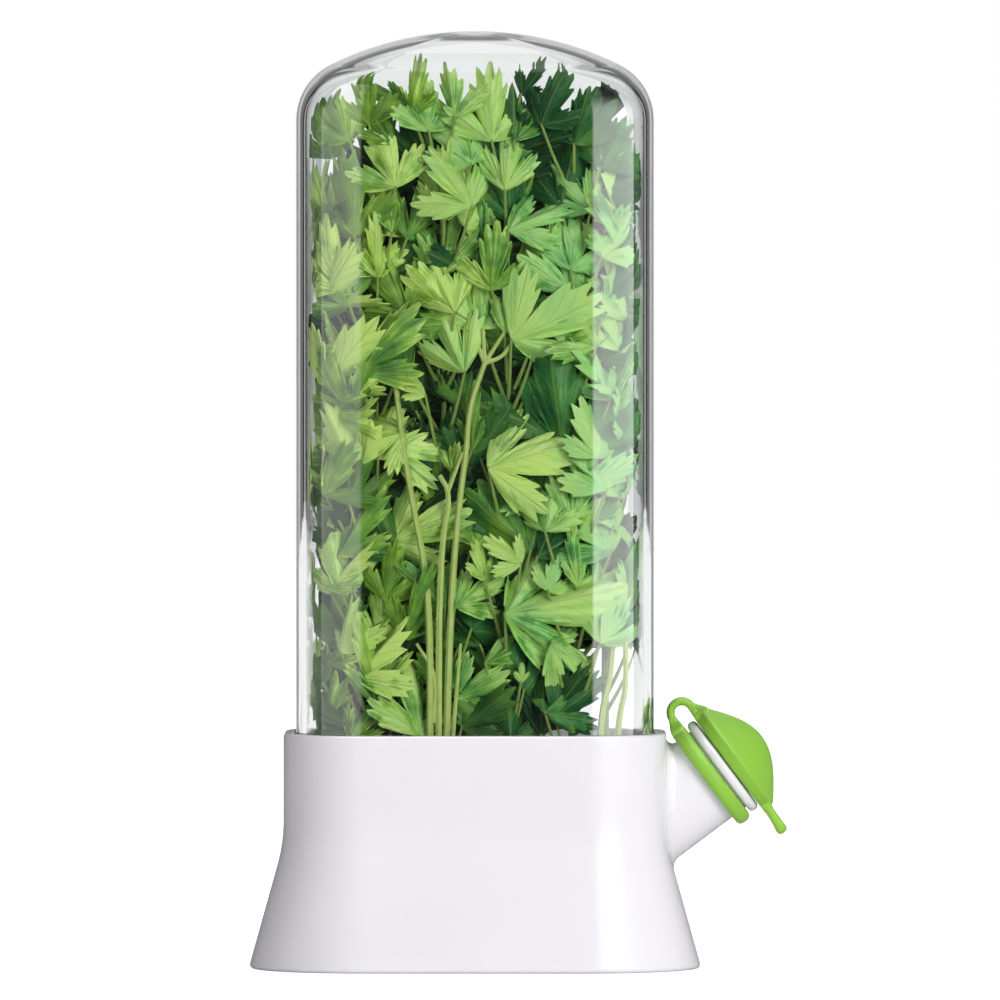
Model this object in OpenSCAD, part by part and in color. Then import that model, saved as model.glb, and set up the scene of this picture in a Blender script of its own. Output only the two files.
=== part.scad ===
// Herb keeper: a flared white water base with a capped filler spout, a clear domed cover,
// a slotted basket and a bunch of flat-leaf parsley standing in it.
// Millimetres, +Z up, +X towards the spout. The origin is the middle of the underside.

/* [Base] */
// Width of the base across its rim
rim_w = 116.4; // [112:0.1:122]
// Depth of the base across its rim
rim_d = 82; // [80:0.5:88]
// Corner radius of the rim, seen from above
rim_corner_r = 25; // [24.5:0.1:26.5]
// Height of the base
base_h = 71.3; // [69:0.1:75]
// Wall of the base
wall = 3.2; // [2.8:0.1:3.4]
// Rounding of the rim's outer edge
rim_round = 0.9; // [0.5:0.1:1.2]
// Distance from the rim down to where the wall begins to flare
flare_drop = 26.3; // [24:0.1:29]
// Radius of the hollow curve at the top of the flare
flare_r = 51; // [40:1:60]
// Slope of the flare, from the vertical
flare_angle = 15.6; // [12:0.1:17]
// Rounding of the bottom edge
foot_round = 1.2; // [0.6:0.1:1.6]

/* [Ledges] */
// Depth of the cover's seat below the rim
seat_depth = 10; // [8.5:0.1:11]
// Width of the cover's seat
seat_w = 4.4; // [4.2:0.1:4.8]
// Drop from the cover's seat to the basket's seat
basket_step = 2.3; // [2.3:0.1:3]
// Width of the basket's seat
basket_seat_w = 3.4; // [3:0.1:3.8]
// Thickness of the basket's seat at its inner edge
seat_t = 2; // [1.5:0.1:2.5]
// Height of the sloping web under the seats
web_h = 8; // [7:0.5:9]

/* [Base plate] */
// Thickness of the plate that closes the base
plate_t = 2.6; // [2:0.1:3.2]
// Width of the rebate that the plate's edge sits in
rebate_w = 1.2; // [0.8:0.1:1.4]
// Clearance round the plate's edge
plate_gap = 0.2; // [0.1:0.05:0.4]

/* [Spout] */
// How far the centre of the lip's face stands out from the rim's end wall
lip_reach = 18.6; // [18.2:0.1:20]
// Height of the centre of the lip's face below the rim
lip_drop = 9.5; // [9:0.1:10.4]
// Rise of the spout above the horizontal
spout_rise = 36.8; // [35.5:0.1:38]
// Outer radius of the neck
neck_r = 14.3; // [13.8:0.1:14.6]
// Radius of the spout's bore
bore_r = 11; // [10:0.1:11.4]
// Depth of the bore along its axis
bore_depth = 40; // [38:0.5:42]
// Outer radius of the lip bead
lip_r = 16.6; // [16:0.1:16.8]
// Thickness of the lip bead
lip_t = 3.2; // [2.8:0.1:3.4]
// Rounding of the lip bead
lip_round = 1.4; // [1:0.1:1.5]

/* [Cap] */
// Thickness of the collar ring
ring_t = 4.7; // [4.2:0.1:4.9]
// Outer radius of the collar ring
ring_r = 17.8; // [17.4:0.1:18]
// Rounding of the collar ring's outer edges
ring_round = 1.8; // [1.2:0.1:2]
// Clearance between the collar ring and the neck
ring_gap = 0.1; // [0.05:0.05:0.2]
// Space between the collar ring and the lip bead
ring_behind = 0.6; // [0.4:0.1:0.9]
// Clearance between the cap and the lip's face
cap_gap = 0.2; // [0.15:0.05:0.3]
// Radius of the cap's underside
cap_under_r = 16.8; // [16.4:0.1:17.2]
// Largest radius of the cap
cap_r = 18.3; // [18.1:0.1:18.6]
// Height of the cap's skirt, up to its soft edge
skirt_h = 3.4; // [3:0.1:3.8]
// Rounding of the skirt's edge
skirt_round = 0.8; // [0.5:0.1:1]
// Height of the cap above the lip
cap_h = 13.3; // [12:0.1:14]
// Clearance between the plug and the bore
plug_gap = 0.4; // [0.3:0.05:0.8]
// Length of the plug under the cap
plug_l = 4.2; // [3.5:0.1:5]
// Bevel round the plug's leading edge
plug_bevel = 0.6; // [0.3:0.1:1]
// Wall of the plug
plug_wall = 2.6; // [2.2:0.1:3]
// Height of the hollow inside the cap, above the lip
cap_hollow_h = 5.6; // [5.2:0.1:6.5]
// Length of the pull tab beyond the cap
tab_l = 9; // [8:0.5:11]
// Width of the pull tab
tab_w = 12; // [10:0.5:14]
// Thickness of the pull tab at its ends
tab_t = 3.4; // [3:0.1:3.6]
// How far each face of the tab is drawn in at its middle, for the finger
tab_waist = 0.35; // [0:0.05:0.6]
// Corner radius of the pull tab, seen from above
tab_corner_r = 4; // [2:0.5:5]
// Droop of the pull tab below the lip's plane
tab_droop = 4; // [0:0.5:6]

/* [Strap] */
// Distance of the loop's centre from the spout's axis
loop_r = 20.5; // [20.2:0.1:20.9]
// Distance of the loop's centre behind the lip's face
loop_back = 1.8; // [1.6:0.1:2]
// Radius of the middle of the strap's band in the loop
loop_mid_r = 3.45; // [3.3:0.05:3.6]
// Thickness of the strap
strap_t = 2.5; // [2.2:0.1:2.6]
// Width of the strap
strap_w = 7; // [6:0.5:9]
// Length of the lugs that the strap's ends meet
lug_l = 1.1; // [0.9:0.1:1.3]
// Clearance at the strap's ends
strap_gap = 0.15; // [0.1:0.05:0.2]

/* [Cover] */
// Height of the whole keeper, to the top of the cover
total_h = 285; // [275:1:295]
// Wall of the clear cover
cover_wall = 3; // [2.6:0.1:3.2]
// Clearance between the cover and the rim, all round
cover_gap = 0.6; // [0.4:0.1:0.8]
// Radius of the cover's shoulders, seen from the front
shoulder_r = 19; // [16:0.5:24]
// Drop from the top of the dome to where the shoulders begin
dome_drop = 27.4; // [25:0.1:31]
// Straight pieces in each corner of the cover
corner_steps = 10; // [6:1:12]
// Steps up each shoulder, and again up to the crown
dome_steps = 6; // [4:1:8]

/* [Basket] */
// Clearance between the basket and its seat, all round
basket_gap = 0.5; // [0.3:0.1:0.8]
// Wall of the basket
basket_wall = 1.8; // [1.5:0.1:2.2]
// Thickness of the basket's flange
flange_t = 2; // [1.6:0.1:2.2]
// Thickness of the basket's floor
floor_t = 2; // [1.6:0.1:2.6]
// Height of the water space between the base plate and the basket
water_h = 11.4; // [10:0.1:14]
// Width of the basket's slots
slot_w = 4; // [3:0.5:5]
// Height of the basket's slots
slot_h = 22; // [16:1:24]
// Height of the slots' feet above the basket's floor
slot_foot = 4; // [2:0.5:6]
// Slots along the front, and as many along the back
front_slots = 7; // [3:1:8]
// Slots at each end
end_slots = 3; // [1:1:4]
// Diameter of the holes in the basket's floor
drain_d = 4.5; // [3:0.5:5.5]
// Distance between the columns of holes, which are staggered from row to row
drain_pitch = 10; // [8:0.5:12]
// Distance between the rows of holes
drain_row = 11.5; // [10:0.5:12]

/* [Parsley] */
// Radius of a sprig's main stem at its foot
stem_r = 1.5; // [1.2:0.1:1.7]
// Radius of a leaf stalk
stalk_r = 0.7; // [0.5:0.1:0.9]
// Rise of a leaf stalk from the stem to its leaf
stalk_rise = 6.5; // [5:0.5:8]
// Length of a leaf
leaf_l = 25; // [22:0.5:26]
// Thickness of a leaf
leaf_t = 0.8; // [0.6:0.1:1]
// Height between one leaf and the next on a sprig
leaf_pitch = 21; // [19:0.5:23]
// Most that a leaf strays up or down from its even place
leaf_stray = 2; // [0:0.5:2.5]
// Distance of a leaf's foot to the side of its stem
leaf_side = 1; // [0.5:0.1:1.5]
// Layers of leaves that half the cover's depth has room for
layer_count = 7.75; // [7.6:0.05:7.9]
// Clearance between the leaf tips of one layer and the next layer
layer_gap = 0.6; // [0.4:0.1:0.8]
// Distance from the cover's inner end to the last stem of a row
row_end = 21.4; // [21:0.1:22.5]
// Distance from the cover's inner end to the stem that stands there by itself
end_inset = 10.4; // [10:0.1:11]
// Distance of the leaves at the ends of the bunch from their stems
end_layer = 3.4; // [3:0.1:4]
// Depth of the lowest leaf's foot below the base's rim
low_leaf_drop = 1.3; // [0:0.1:3]
// Bare height at the foot of the bunch's right side
bare_h = 32; // [28:1:40]
// Distance from the top of the dome down to the highest leaf's foot
crown_space = 42; // [40:1:48]
// Drop of the highest leaves towards the ends of the bunch
end_drop = 14; // [12:1:18]
// Rise of the leaves in the middle of the bunch over those in front
middle_rise = 2; // [0:0.5:3]

/* [Hidden] */
$fn = 64;

white = [0.92, 0.9, 0.93];
clear = [0.85, 0.92, 0.92, 0.3];
lime = [0.55, 0.78, 0.25];
leaf_green = [0.33, 0.6, 0.2];

// Straight lengths of the plan between its corners
flat_w = rim_w - 2 * rim_corner_r;
flat_d = rim_d - 2 * rim_corner_r;

// Heights of the seats
seat_z = base_h - seat_depth;
basket_seat_z = seat_z - basket_step;
seat_edge = -wall - seat_w;
basket_seat_edge = seat_edge - basket_seat_w;
web_z = basket_seat_z - seat_t;

// How far the outer wall stands out from the rim at height z
flare_z = base_h - flare_drop;
flare_end_z = flare_z - flare_r * sin(flare_angle);
function flare(z) =
    z >= flare_z ? 0 :
    z >= flare_end_z ? flare_r - sqrt(pow(flare_r, 2) - pow(flare_z - z, 2)) :
    flare_r * (1 - cos(flare_angle)) + (flare_end_z - z) * tan(flare_angle);

// The points of an arc
function arc(c, r, from, to, steps) =
    [for (i = [0:steps]) let (a = from + (to - from) * i / steps)
        c + r * [cos(a), sin(a)]];

// Points down the flare, moved in by a wall, between two heights
flare_steps = 6;
function flare_line(inset, top, bottom) =
    [for (i = [0:flare_steps])
        let (z = flare_z - (flare_z - flare_end_z) * i / flare_steps)
        if (z <= top && z > bottom) [flare(z) - inset, z]];
function reversed(list) = [for (i = [len(list) - 1:-1:0]) list[i]];

// The spout's own frame: Z runs out along the axis from the lip's face, X down to the tab
module on_spout() {
    translate([rim_w / 2 + lip_reach, 0, base_h - lip_drop])
        rotate([0, 90 - spout_rise, 0]) children();
}

// A wall section, drawn as distance out from the rim and height, taken round the plan
module round_plan() {
    corner = [flat_w / 2, flat_d / 2];
    for (sx = [0, 1], sy = [0, 1]) mirror([sx, 0, 0]) mirror([0, sy, 0])
        translate([corner[0], corner[1], 0]) rotate_extrude(angle = 90)
            translate([rim_corner_r, 0]) children();
    for (s = [0, 1]) mirror([0, s, 0])
        translate([-corner[0], corner[1] + rim_corner_r, 0])
            rotate([90, 0, 90]) linear_extrude(flat_w) children();
    for (s = [0, 1]) mirror([s, 0, 0])
        translate([corner[0] + rim_corner_r, corner[1], 0])
            rotate([90, 0, 0]) linear_extrude(flat_d) children();
}

// A flat slab of the plan, grown by a distance
module plan_slab(grow, h) {
    r = rim_corner_r + grow;
    linear_extrude(h) {
        square([flat_w + 2 * r, flat_d], center = true);
        square([flat_w, flat_d + 2 * r], center = true);
        for (x = [-1, 1], y = [-1, 1])
            translate([x * flat_w / 2, y * flat_d / 2]) circle(r);
    }
}

// The base's wall with its two seats, the web under them and the rebate at the bottom
module base_section() {
    foot = flare(foot_round);
    inner_foot = flare(plate_t) - wall;
    polygon(concat(
        [[inner_foot + rebate_w, 0]],
        arc([foot - foot_round, foot_round], foot_round, -90, 0, 4),
        reversed(flare_line(0, base_h, foot_round)),
        arc([-rim_round, base_h - rim_round], rim_round, 0, 90, 4),
        [[-wall, base_h], [-wall, seat_z], [seat_edge, seat_z], [seat_edge, basket_seat_z],
            [basket_seat_edge, basket_seat_z], [basket_seat_edge, web_z],
            [-wall, web_z - web_h]],
        flare_line(wall, web_z - web_h, plate_t),
        [[inner_foot, plate_t], [inner_foot + rebate_w, plate_t]]
    ));
}

module base_shell() {
    // The neck's root ends inside the end wall
    root_x = rim_w / 2 - wall / 3;
    lip_in = (neck_r + bore_r) / 2;
    color(white) difference() {
        union() {
            round_plan() base_section();
            difference() {
                on_spout() translate([0, 0, -bore_depth]) cylinder(r = neck_r, h = bore_depth);
                cube([2 * root_x, 2 * rim_d, 3 * base_h], center = true);
            }
            on_spout() rotate_extrude() polygon(concat(
                [[lip_in, -lip_t], [lip_r - lip_round, -lip_t]],
                arc([lip_r - lip_round, lip_round - lip_t], lip_round, -60, 0, 3),
                arc([lip_r - lip_round, -lip_round], lip_round, 0, 60, 3),
                [[lip_r - lip_round, 0], [lip_in, 0]]));
        }
        on_spout() translate([0, 0, -bore_depth]) cylinder(r = bore_r, h = bore_depth + lip_t);
    }
}

// A plate welded into the rebate, flush with the foot
module base_plate() {
    color(white) plan_slab(flare(plate_t) - wall + rebate_w - plate_gap, plate_t);
}

// Basket sizes, all measured in from the seats that carry it
basket_flange_edge = seat_edge - basket_gap;
basket_out = basket_seat_edge - basket_gap;
basket_in = basket_out - basket_wall;
floor_z = plate_t + water_h;
flange_top = basket_seat_z + flange_t;
slot_z = floor_z + floor_t + slot_foot;

// Places of a row of slots, spread evenly along a straight side
function slot_row(count, length) = [for (i = [0:count - 1]) (i - (count - 1) / 2) * length / count];

module herb_basket() {
    color(white) difference() {
        union() {
            round_plan() polygon([
                [basket_out, floor_z], [basket_out, basket_seat_z],
                [basket_flange_edge, basket_seat_z], [basket_flange_edge, flange_top],
                [basket_in, flange_top], [basket_in, floor_z]]);
            translate([0, 0, floor_z]) plan_slab(basket_out, floor_t);
        }
        for (x = slot_row(front_slots, flat_w))
            translate([x - slot_w / 2, -rim_d / 2, slot_z]) cube([slot_w, rim_d, slot_h]);
        for (y = slot_row(end_slots, flat_d))
            translate([-rim_w / 2, y - slot_w / 2, slot_z]) cube([rim_w, slot_w, slot_h]);
        for (i = [-4:4], j = [-2:2])
            if ((i + j) % 2 != 0)
                translate([i * drain_pitch, j * drain_row, floor_z - floor_t])
                    cylinder(d = drain_d, h = 3 * floor_t);
    }
}

// Cover: rings of the plan, drawn in along the dome's outline
cover_grow = -wall - cover_gap;
cover_half = rim_w / 2 + cover_grow;
shoulder_x = cover_half - shoulder_r;
shoulder_z = total_h - dome_drop;
// Radius of the crown that meets the shoulders smoothly and ends at the top
crown_r = (pow(shoulder_x, 2) + pow(dome_drop, 2) - pow(shoulder_r, 2))
    / (2 * (dome_drop - shoulder_r));
meet = atan2(crown_r - dome_drop, shoulder_x);

// One ring of the plan, at a share of its full size
function plan_ring(grow, share, z) =
    [for (q = [0:3], i = [0:corner_steps])
        let (a = 90 * q + 90 * i / corner_steps,
             sx = (q == 0 || q == 3) ? 1 : -1, sy = q < 2 ? 1 : -1)
        [share * (sx * flat_w / 2 + (rim_corner_r + grow) * cos(a)),
         share * (sy * flat_d / 2 + (rim_corner_r + grow) * sin(a)), z]];

// The dome's outline as half-width and height, moved in by a wall
function dome_line(inset) = concat(
    [for (i = [0:dome_steps]) let (a = meet * i / dome_steps)
        [shoulder_x + (shoulder_r - inset) * cos(a), shoulder_z + (shoulder_r - inset) * sin(a)]],
    [for (i = [1:dome_steps - 1]) let (a = meet + (90 - meet) * i / dome_steps)
        [(crown_r - inset) * cos(a), total_h - crown_r + (crown_r - inset) * sin(a)]]);

function dome_rings(inset) =
    [for (p = dome_line(inset))
        plan_ring(cover_grow - inset, p[0] / (cover_half - inset), p[1])];

module cover() {
    n = 4 * (corner_steps + 1);
    outer = concat([plan_ring(cover_grow, 1, seat_z)], dome_rings(0));
    inner = concat([plan_ring(cover_grow - cover_wall, 1, seat_z)], dome_rings(cover_wall));
    m = len(outer);
    points = concat([for (ring = outer) each ring], [for (ring = inner) each ring],
        [[0, 0, total_h], [0, 0, total_h - cover_wall]]);
    start = m * n;
    function next(j) = (j + 1) % n;
    faces = concat(
        [for (i = [0:m - 2], j = [0:n - 1])
            [i * n + j, (i + 1) * n + j, (i + 1) * n + next(j), i * n + next(j)]],
        [for (i = [0:m - 2], j = [0:n - 1])
            [start + i * n + next(j), start + (i + 1) * n + next(j),
             start + (i + 1) * n + j, start + i * n + j]],
        [for (j = [0:n - 1]) [(m - 1) * n + j, 2 * start, (m - 1) * n + next(j)]],
        [for (j = [0:n - 1])
            [start + (m - 1) * n + next(j), 2 * start + 1, start + (m - 1) * n + j]],
        [for (j = [0:n - 1]) [j, next(j), start + next(j), start + j]]);
    color(clear) polyhedron(points, faces);
}

// Silicone collar: it is stretched over the lip and grips the neck behind it
ring_front = -lip_t - ring_behind;
ring_back = ring_front - ring_t;

// A lug on the ring or the cap, where one end of the strap joins. It is let into the edge
// of the ring or the cap by its own thickness
lug_gap = loop_r - ring_r - lug_l;
ring_arm = -loop_back - loop_mid_r - strap_t / 2;
cap_arm = -loop_back + loop_mid_r - strap_t / 2;
module lug(low) {
    translate([-loop_r + lug_gap, -strap_w / 2, low])
        cube([lug_l + ring_r - cap_under_r + strap_t / 2, strap_w, strap_t]);
}

module cap_ring() {
    inner = neck_r + ring_gap;
    color(lime) on_spout() difference() {
        union() {
            rotate_extrude() polygon(concat(
                [[inner, ring_back]],
                arc([ring_r - ring_round, ring_back + ring_round], ring_round, -90, 0, 5),
                arc([ring_r - ring_round, ring_front - ring_round], ring_round, 0, 90, 5),
                [[inner, ring_front]]));
            lug(ring_arm);
        }
        translate([0, 0, 2 * ring_back]) cylinder(r = inner, h = -4 * ring_back);
    }
}

// The strap loops up from the ring and over to the cap, and is the cap's hinge
module cap_strap() {
    outer = loop_mid_r + strap_t / 2;
    inner = loop_mid_r - strap_t / 2;
    arm = lug_gap - strap_gap;
    color(lime) on_spout() translate([-loop_r, strap_w / 2, -loop_back])
        rotate([90, 0, 0]) linear_extrude(strap_w) polygon(concat(
            [[arm, -outer]], arc([0, 0], outer, -90, -270, 16), [[arm, outer]],
            [[arm, inner]], arc([0, 0], inner, 90, 270, 12), [[arm, -inner]]));
}

// Silicone cap: a skirt that leans out to a soft edge, a dome that is steep at its foot and
// flat at its tip, a hollow plug and a pull tab
module spout_cap() {
    plug_r = bore_r - plug_gap;
    hollow_r = plug_r - plug_wall;
    dome_foot = skirt_h + skirt_round / 2;
    cap_steps = 12;
    color(lime) on_spout() translate([0, 0, cap_gap]) {
        rotate_extrude() polygon(concat(
            [[hollow_r, -plug_l], [plug_r - plug_bevel, -plug_l],
                [plug_r, plug_bevel - plug_l], [plug_r, 0], [cap_under_r, 0]],
            arc([cap_r - skirt_round, skirt_h], skirt_round, -20, 45, 3),
            [for (i = [1:cap_steps]) let (t = i / cap_steps)
                [cap_r * (1 - t), dome_foot + (cap_h - dome_foot) * sin(90 * t)]],
            [[0, cap_hollow_h + plug_bevel], [hollow_r - plug_wall, cap_hollow_h],
                [hollow_r, cap_hollow_h - plug_wall]]));
        pull_tab();
        translate([0, 0, -cap_gap]) lug(cap_arm);
    }
}

// The tab runs out of the skirt on the side away from the strap. Its ends are full and
// round, its middle is drawn in, and its corners are round from above
module pull_tab() {
    root = tab_t / 2;
    steps = 6;
    side = [for (i = [0:steps]) let (x = tab_l * i / steps)
        [x, tab_t / 2 - tab_waist * sin(180 * x / tab_l)]];
    translate([cap_under_r, 0, tab_t / 2]) rotate([0, tab_droop, 0]) intersection() {
        rotate([90, 0, 0]) linear_extrude(tab_w, center = true) {
            polygon(concat([[-root, tab_t / 2]], side,
                reversed([for (p = side) [p[0], -p[1]]]), [[-root, -tab_t / 2]]));
            translate([tab_l, 0]) circle(tab_t / 2);
        }
        linear_extrude(2 * tab_t, center = true) {
            far = tab_l + tab_t / 2;
            translate([-root, -tab_w / 2]) square([far + root - tab_corner_r, tab_w]);
            translate([0, tab_corner_r - tab_w / 2]) square([far, tab_w - 2 * tab_corner_r]);
            for (y = [-1, 1])
                translate([far - tab_corner_r, y * (tab_w / 2 - tab_corner_r)]) circle(tab_corner_r);
        }
    }
}

// Parsley: the sprigs stand in rows inside the cover, each with leaves that face out of the
// bunch. Neighbours hold their leaves in layers of their own. Each entry: place of the stem,
// way it faces, how far out its leaves are, heights of its first and last leaf.
layer = (rim_d / 2 + cover_grow - cover_wall) / layer_count;
row_y = 4 * layer;
end_x = cover_half - cover_wall - end_inset;
row_pitch = (cover_half - cover_wall - row_end) / 1.5;
low_z = base_h - low_leaf_drop;
high_z = total_h - crown_space;
function row_layer(i) = layer * [0.65, 1.65, 2.65, 0.65][i];
function row_low(x) = x > row_pitch ? low_z + bare_h : low_z;
function row_high(x) = abs(x) > row_pitch ? high_z - end_drop : high_z;
sprigs = concat(
    [for (i = [0:3]) let (x = (i - 1.5) * row_pitch)
        [x, -row_y, 0, row_layer(i), row_low(x), row_high(x)]],
    [for (i = [0:3]) let (x = (1.5 - i) * row_pitch)
        [x, row_y, 180, row_layer(i), row_low(x), row_high(x)]],
    [for (side = [-1, 1]) let (x = side * end_x)
        [x, 0, 90 * side, end_layer, row_low(x), row_high(x)]],
    [for (i = [-1:1]) [i * row_pitch, 0, 0, layer * (i == 0 ? 1.05 : 2.35),
        low_z + stalk_rise, high_z + middle_rise]]);

// A scatter between -1 and 1 that is the same each time
function wave(i, k) = sin(137 * i + 71 * k + 40);

// A leaf's tip leans out of the bunch by no more than the space to the next layer, and
// leans to its own side of the stem
lean_angle = asin((layer - leaf_t - layer_gap) / leaf_l);
side_angle = 16;

// A six-sided rod between two points
module rod(p, q, r) {
    d = q - p;
    translate(p) rotate([0, atan2(norm([d[0], d[1]]), d[2]), atan2(d[1], d[0])])
        cylinder(r = r, h = norm(d), $fn = 6);
}

// Three lobes down one side of a leaf's edge, as shares of its length
leaf_teeth = [[0.3, 0.12], [0.45, 0.36], [0.27, 0.42], [0.47, 0.66], [0.24, 0.7], [0.2, 0.88]];
module leaf(size) {
    rotate([90, 0, 0]) linear_extrude(leaf_t, center = true) polygon(size * concat(
        [[0, 0]], leaf_teeth, [[0, 1]], reversed([for (p = leaf_teeth) [-p[0], p[1]]])));
}

// One sprig: a stem on the basket's floor, and leaves on short stalks up its length
module sprig(index) {
    s = sprigs[index];
    foot = floor_z + floor_t;
    leaves = floor((s[5] - s[4]) / leaf_pitch);
    middle = index >= len(sprigs) - 3;
    color(leaf_green) translate([s[0], s[1], 0]) rotate([0, 0, s[2]]) {
        translate([0, 0, foot]) cylinder(r = stem_r, h = s[4] - foot, $fn = 6);
        translate([0, 0, s[4] - stem_r])
            cylinder(r1 = stem_r, r2 = stalk_r, h = leaves * leaf_pitch + 2 * stem_r, $fn = 6);
        for (k = [0:leaves]) {
            z = s[4] + k * leaf_pitch + leaf_stray * wave(index, k);
            side = k % 2 == 0 ? 1 : -1;
            x = side * leaf_side;
            back = middle && k % 4 > 1 ? 180 : 0;
            lean = lean_angle * (0.6 + 0.4 * wave(index + 3, k));
            roll = side * side_angle * (1 + 0.5 * wave(k, index));
            // The last leaf is the youngest and smallest
            size = k == leaves ? 0.88 * leaf_l : leaf_l;
            rotate([0, 0, back]) {
                rod([0, 0, z + 2 * stalk_r - stalk_rise], [x, -s[3], z + 2 * stalk_r], stalk_r);
                translate([x, -s[3], z]) rotate([lean, 0, 0]) rotate([0, roll, 0]) leaf(size);
            }
        }
    }
}

base_shell();
base_plate();
herb_basket();
cover();
cap_ring();
cap_strap();
spout_cap();
sprig(0);  // sprig_01
sprig(1);  // sprig_02
sprig(2);  // sprig_03
sprig(3);  // sprig_04
sprig(4);  // sprig_05
sprig(5);  // sprig_06
sprig(6);  // sprig_07
sprig(7);  // sprig_08
sprig(8);  // sprig_09
sprig(9);  // sprig_10
sprig(10);  // sprig_11
sprig(11);  // sprig_12
sprig(12);  // sprig_13
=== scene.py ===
"""Herb keeper: the looks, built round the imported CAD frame. Metres, +Z up, +X to the spout."""
import math
import random

import bmesh
import bpy
from mathutils import Matrix, Vector


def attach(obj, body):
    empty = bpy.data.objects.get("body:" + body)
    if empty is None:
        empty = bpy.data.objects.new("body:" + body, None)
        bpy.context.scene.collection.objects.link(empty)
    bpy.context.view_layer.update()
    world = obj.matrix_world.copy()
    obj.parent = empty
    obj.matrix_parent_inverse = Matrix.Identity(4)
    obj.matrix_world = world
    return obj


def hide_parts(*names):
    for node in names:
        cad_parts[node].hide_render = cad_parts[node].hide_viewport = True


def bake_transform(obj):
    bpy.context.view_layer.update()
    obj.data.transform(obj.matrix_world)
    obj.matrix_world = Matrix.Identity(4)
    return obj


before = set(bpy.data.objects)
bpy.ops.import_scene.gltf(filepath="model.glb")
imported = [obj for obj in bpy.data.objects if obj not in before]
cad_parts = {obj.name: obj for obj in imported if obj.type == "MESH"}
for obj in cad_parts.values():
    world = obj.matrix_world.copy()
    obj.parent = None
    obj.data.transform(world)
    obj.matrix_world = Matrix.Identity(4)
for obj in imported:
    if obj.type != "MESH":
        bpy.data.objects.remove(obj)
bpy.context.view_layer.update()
MM = 0.001
WHITE = (1, 1, 1)


class Nodes:
    """Fills an emptied node tree. A call adds a node: its inputs, by name or number, are
    plain values or other nodes' sockets, and its other settings are keywords."""

    def __init__(self, tree):
        self.tree = tree
        tree.nodes.clear()

    def __call__(self, kind, inputs=(), **settings):
        node = self.tree.nodes.new(kind if kind.startswith("Node") else "ShaderNode" + kind)
        for key, value in settings.items():
            setattr(node, key, value)
        for key, value in dict(inputs).items():
            socket = node.inputs[key]
            if isinstance(value, bpy.types.NodeSocket):
                self.tree.links.new(value, socket)
            else:
                socket.default_value = (*value, 1) if socket.type == "RGBA" else value
        return node

    def maths(self, operation, a, b=0.5, clamp=False):
        """The result of one sum."""
        return self("Math", {0: a, 1: b}, operation=operation, use_clamp=clamp).outputs[0]

    def span(self, value, to, since=(0, 1), smooth=False):
        """A value carried over from one range to another."""
        return self("MapRange", {"Value": value, "From Min": since[0], "From Max": since[1],
                                 "To Min": to[0], "To Max": to[1]},
                    interpolation_type="SMOOTHSTEP" if smooth else "LINEAR").outputs["Result"]

    def mix(self, factor, a, b, **settings):
        """A colour between two colours."""
        return self("Mix", {"Factor": factor, "A": a, "B": b},
                    data_type="RGBA", **settings).outputs["Result"]

    def ramp(self, value, stops):
        """The colour at a value, by stops of place and colour from 0 to 1."""
        node = self("ValToRGB", {"Fac": value})
        first, *rest, last = stops
        for element, (at, colour) in zip(node.color_ramp.elements, (first, last)):
            element.position, element.color = at, (*colour, 1)
        for at, colour in rest:
            node.color_ramp.elements.new(at).color = (*colour, 1)
        return node.outputs["Color"]

    def noise(self, place, scale, detail):
        """Noise at a place, 0 to 1."""
        return self("TexNoise", {"Vector": place, "Scale": scale, "Detail": detail}).outputs["Fac"]

    def bump(self, height, strength, distance):
        """The normal of a surface that rises and falls, by a distance in metres."""
        return self("Bump", {"Height": height, "Strength": strength,
                             "Distance": distance}).outputs["Normal"]

    def split(self, vector):
        """A vector's X, Y and Z."""
        return self("SeparateXYZ", {0: vector}).outputs

    def finish(self, shader):
        """Ends a material's tree with its shader."""
        self("OutputMaterial", {"Surface": shader.outputs[0]})


def placed(name, data):
    """A new object in the scene."""
    obj = bpy.data.objects.new(name, data)
    bpy.context.collection.objects.link(obj)
    return obj


def new_material(name):
    """A new material, and its nodes to fill."""
    material = bpy.data.materials.new(name)
    material.use_nodes = True
    return material, Nodes(material.node_tree)


# ---- The studio ----
# A level camera with a long lens, a white floor, a large soft lamp at the front right,
# weaker ones at the front left, overhead and behind, one that only glints, and upright
# white cards that show in nothing but the clear cover's gloss.
def point_at(obj, place, target):
    """Puts a lamp, card or camera at a place and turns it to look at a target."""
    obj.location = place
    obj.rotation_euler = (Vector(target) - Vector(place)).to_track_quat("-Z", "Y").to_euler()


MIDDLE_X = 0.0076       # what the picture is centred on, with the spout in view
lens = bpy.data.cameras.new("photo_lens")
lens.lens = 472
lens.sensor_width = 36
lens.clip_end = 30
camera = placed("photo_camera", lens)
point_at(camera, (MIDDLE_X, -4.0, 0.207), (MIDDLE_X, 0, 0.142))
bpy.context.scene.camera = camera
bpy.context.scene.view_settings.view_transform = "Standard"


def flats(nodes, angle, stops):
    """Brightness by angle: a ramp through stops of degrees, out of 180, and brightness."""
    return nodes.ramp(nodes.maths("DIVIDE", angle, math.pi),
                      [(at / 180, (grey, grey, grey)) for at, grey in stops])


def seen_by(nodes, in_front):
    """Which ray looks: one from the camera, a reflection, or one through clear plastic.
    What the cover's inner skin throws back to the front is a reflection too. The last
    result is 1 where the ray has bounced off gloss at all."""
    path = nodes("LightPath").outputs
    bounced = nodes.maths("MINIMUM", path["Glossy Depth"], 1.0)
    thrown_back = nodes.maths("MULTIPLY", in_front, bounced)
    is_gloss = nodes.maths("MAXIMUM", path["Is Glossy Ray"], thrown_back)
    is_clear = nodes.maths("SUBTRACT", path["Is Transmission Ray"], thrown_back, clamp=True)
    return path["Is Camera Ray"], is_gloss, is_clear, bounced


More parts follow.
